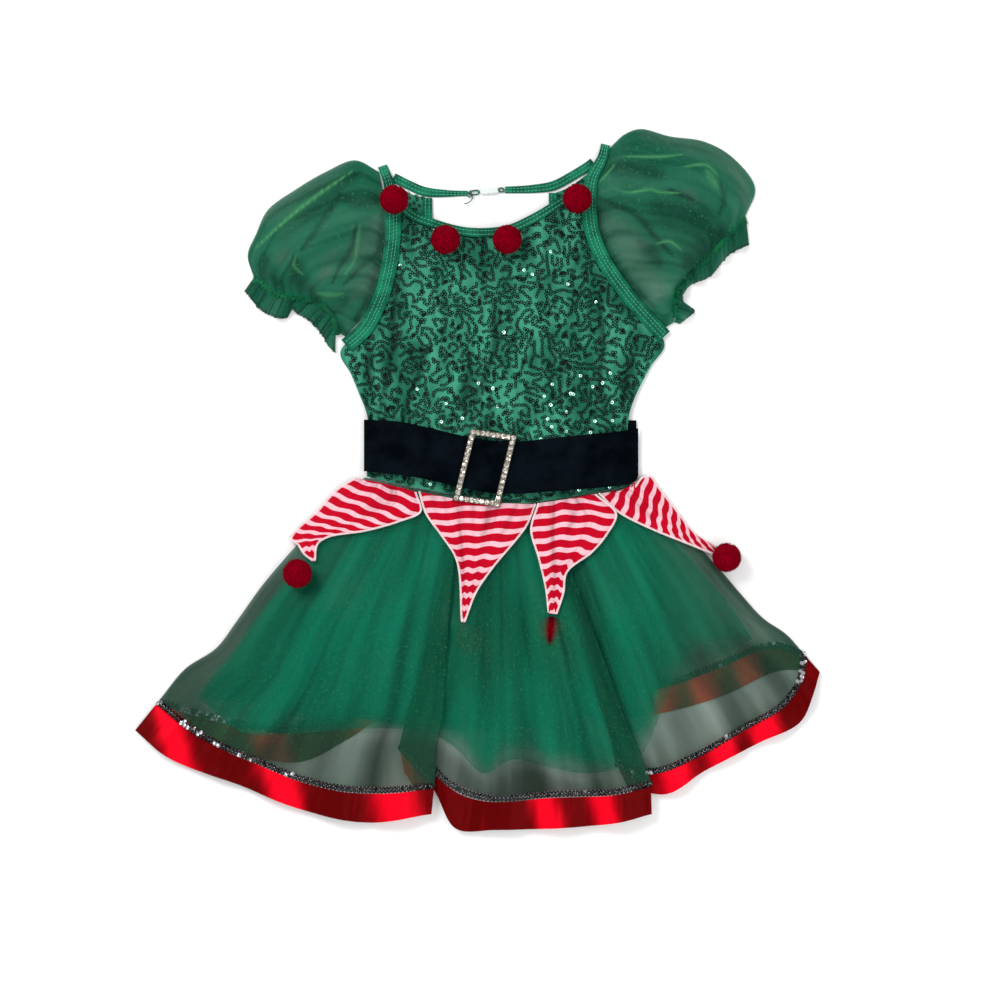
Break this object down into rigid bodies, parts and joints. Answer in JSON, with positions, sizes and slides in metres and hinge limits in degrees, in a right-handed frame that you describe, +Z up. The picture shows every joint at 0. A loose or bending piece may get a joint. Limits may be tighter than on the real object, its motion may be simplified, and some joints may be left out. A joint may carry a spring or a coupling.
{
  "type": "child's elf costume dress",
  "caption": "Child's elf dress laid flat: sequin bodice, organza puff sleeves and skirt, striped pointed peplum, pompoms, black belt with a stone-set buckle.",
  "frame": {"origin": "middle of the waist, on the flat underside of the belt's back strip, which lies on the surface", "axes": "+X to the right as seen from above, +Y to the neck, +Z up away from the surface that the dress lies on"},
  "size_m": [0.6572, 0.6731, 0.042],
  "materials": {
    "organza": "sheer crisp organza",
    "dense_organza": "layered organza, nearly opaque",
    "sequin_cloth": "green knit with small dark cup sequins in winding lines",
    "green_binding": "stretch binding with two rows of stitching",
    "red_satin": "glossy satin ribbon",
    "sequin_trim": "overlapping black sequins with a silver chain",
    "striped_knit": "red and white striped knit with white overlocked edges",
    "black_elastic": "matt black elastic webbing",
    "pompom_yarn": "dense fine yarn",
    "rhinestones": "faceted clear stones in a bright frame",
    "clear_plastic": "moulded clear plastic"
  },
  "bodies": {
    "root": {"armhole_binding_left": "green_binding", "armhole_binding_right": "green_binding", "belt_back": "black_elastic", "belt_front": "black_elastic", "bodice_back": "sequin_cloth", "bodice_front": "sequin_cloth", "buckle": "rhinestones", "cuff_ruffle_left_lower": "organza", "cuff_ruffle_left_upper": "organza", "cuff_ruffle_right_lower": "organza", "cuff_ruffle_right_upper": "organza", "elastic_loop_left": "black_elastic", "elastic_loop_right": "black_elastic", "hem_ribbon_back": "red_satin", "hem_ribbon_front": "red_satin", "hem_trim_back": "sequin_trim", "hem_trim_front": "sequin_trim", "keyhole_binding": "green_binding", "neck_band_back_left": "green_binding", "neck_band_back_right": "green_binding", "neck_binding_front": "green_binding", "neck_clasp": "clear_plastic", "peplum_point_1": "striped_knit", "peplum_point_2": "striped_knit", "peplum_point_3": "striped_knit", "peplum_point_4": "striped_knit", "peplum_point_back_left": "striped_knit", "peplum_point_back_right": "striped_knit", "pompom_back_left": "pompom_yarn", "pompom_back_right": "pompom_yarn", "pompom_neck_1": "pompom_yarn", "pompom_neck_2": "pompom_yarn", "pompom_neck_3": "pompom_yarn", "pompom_neck_4": "pompom_yarn", "pompom_point_1": "pompom_yarn", "pompom_point_2": "pompom_yarn", "pompom_point_3": "pompom_yarn", "pompom_point_4": "pompom_yarn", "skirt_outer_back": "organza", "skirt_outer_front": "organza", "sleeve_left_lower": "organza", "sleeve_left_upper": "organza", "sleeve_right_lower": "organza", "sleeve_right_upper": "organza", "underskirt_back": "dense_organza", "underskirt_front": "dense_organza"}
  },
  "joints": []
}
